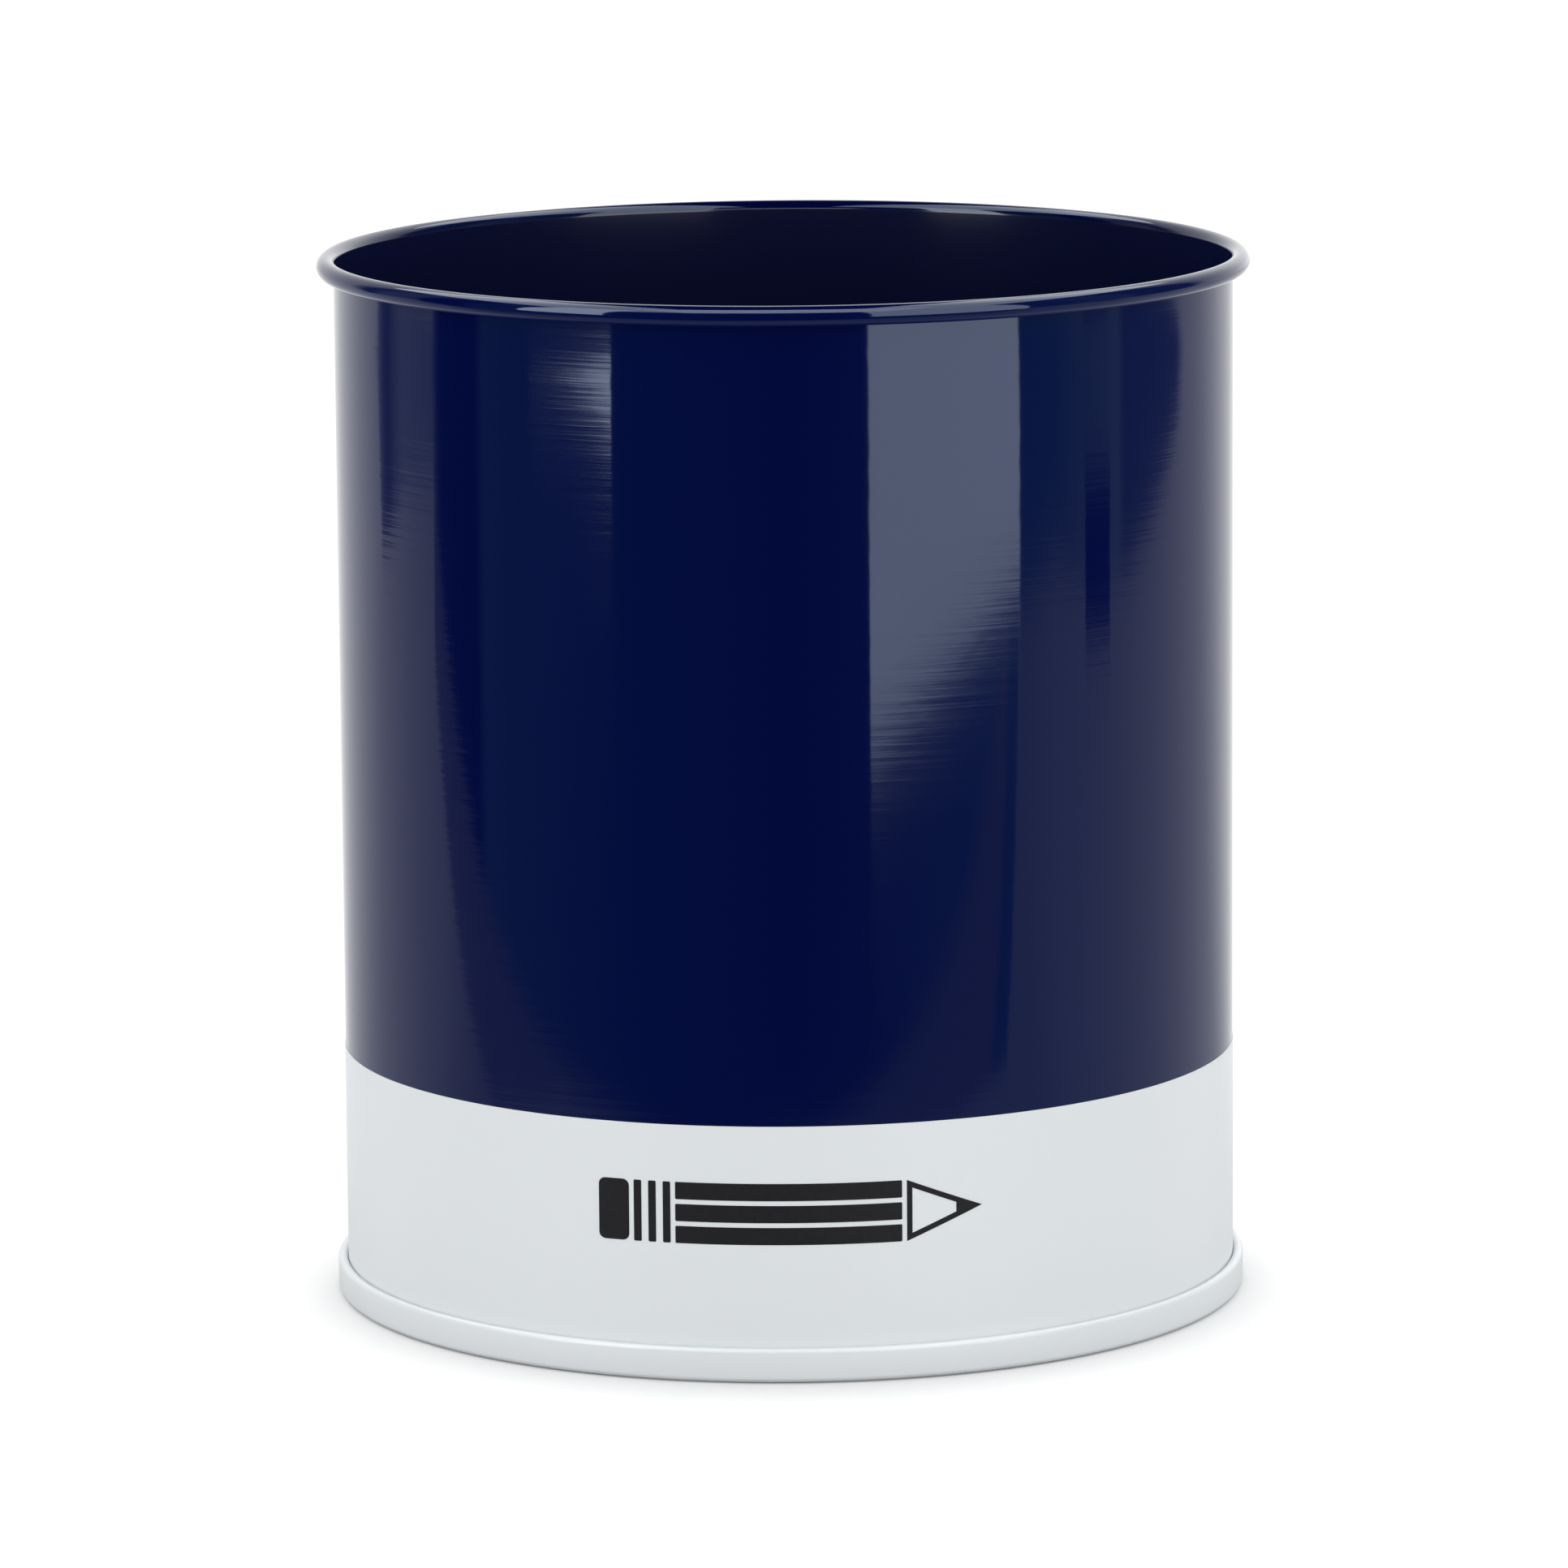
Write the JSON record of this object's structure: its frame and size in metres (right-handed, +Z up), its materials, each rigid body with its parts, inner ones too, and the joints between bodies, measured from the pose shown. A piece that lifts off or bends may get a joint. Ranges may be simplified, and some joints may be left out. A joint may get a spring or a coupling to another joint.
{
  "type": "desk cup",
  "caption": "Open cylindrical desk cup made like a small paint can: tinplate wall with curled rim, double-seamed bottom, navy enamel over a white band with a plain pencil picture.",
  "frame": {"origin": "on the standing surface, at the centre of the cup", "axes": "+Z up along the cup's axis, -Y towards the printed front, +X to the right of the front"},
  "size_m": [0.0892, 0.0892, 0.1005],
  "materials": {
    "navy_enamel": "gloss stoved enamel on tinplate",
    "white_enamel_plate": "white enamel on pressed tinplate",
    "white_enamel_coat": "thin satin-gloss white enamel coat",
    "grey_ink": "flat screen-printed ink",
    "compound": "sealing compound inside the seam"
  },
  "bodies": {
    "root": {"body_shell": "navy_enamel", "bottom_end": "white_enamel_plate", "seam_compound": "compound", "white_band": "white_enamel_coat", "printed_pencil": "grey_ink"}
  },
  "joints": []
}
